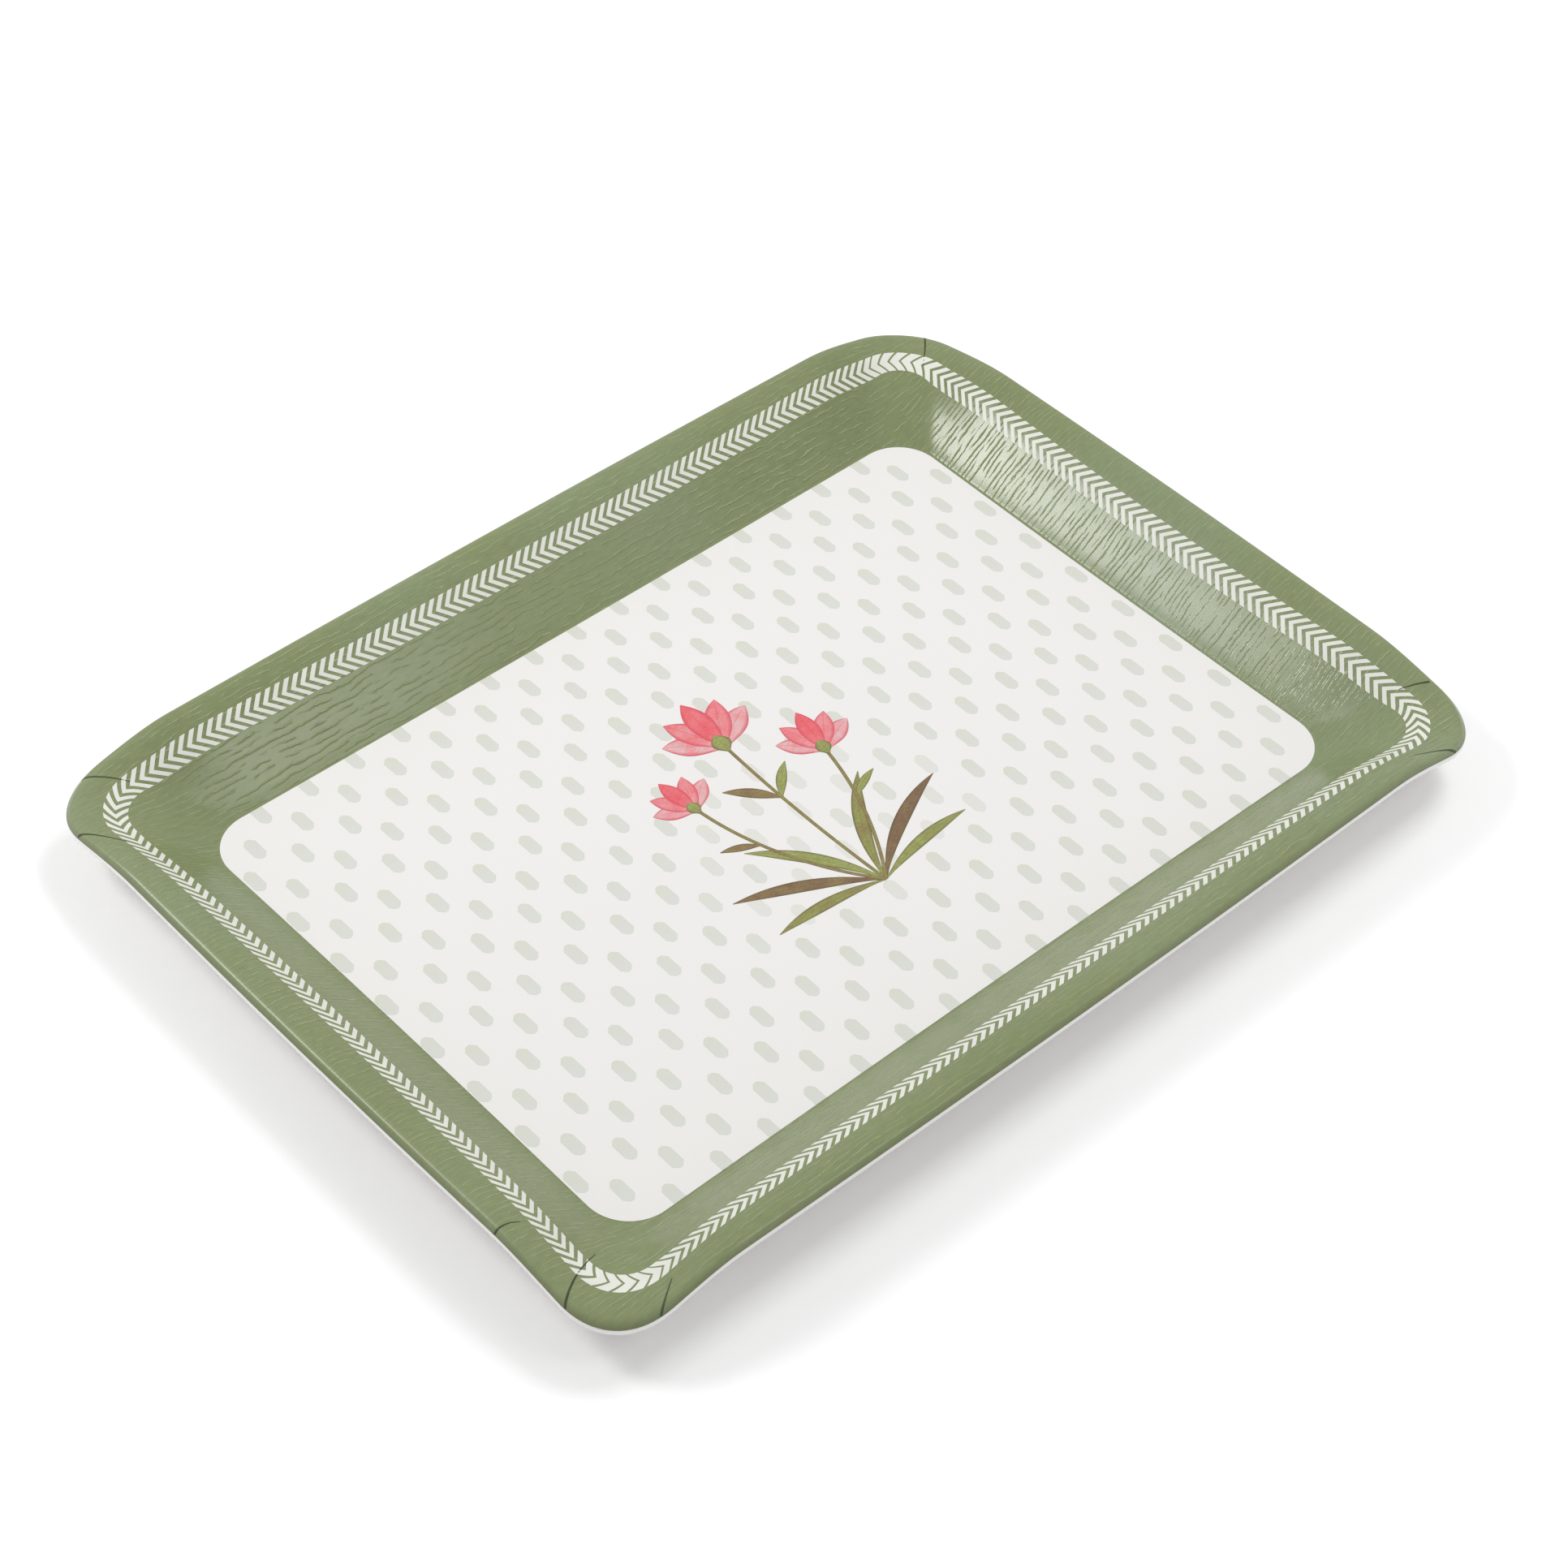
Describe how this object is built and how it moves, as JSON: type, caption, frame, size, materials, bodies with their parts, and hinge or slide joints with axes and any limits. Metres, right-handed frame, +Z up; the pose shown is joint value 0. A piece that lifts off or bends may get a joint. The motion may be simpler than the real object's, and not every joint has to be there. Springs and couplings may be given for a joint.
{
  "type": "rectangular serving tray",
  "caption": "Rectangular moulded tray with a crowned base, sloping walls, a rolled rim dipped at the corners, and decor sheets on its upper face.",
  "frame": {"origin": "on the surface that the tray stands on, under the middle of the base", "axes": "+X along the tray's length, +Y across its width, +Z up out of the well"},
  "size_m": [0.408, 0.3036, 0.0287],
  "materials": {
    "white_melamine": "smooth gloss moulding",
    "green_decor": "glazed sage green print with a pressed grain",
    "white_decor": "smooth glazed white print",
    "band_ink": "glazed white print",
    "mark_ink": "glazed pale grey-green print",
    "petal_ink": "glazed pink print",
    "leaf_ink": "glazed olive and brown print"
  },
  "bodies": {
    "root": {"tray_body": "white_melamine", "border_foil": "green_decor", "centre_foil": "white_decor"}
  },
  "joints": []
}
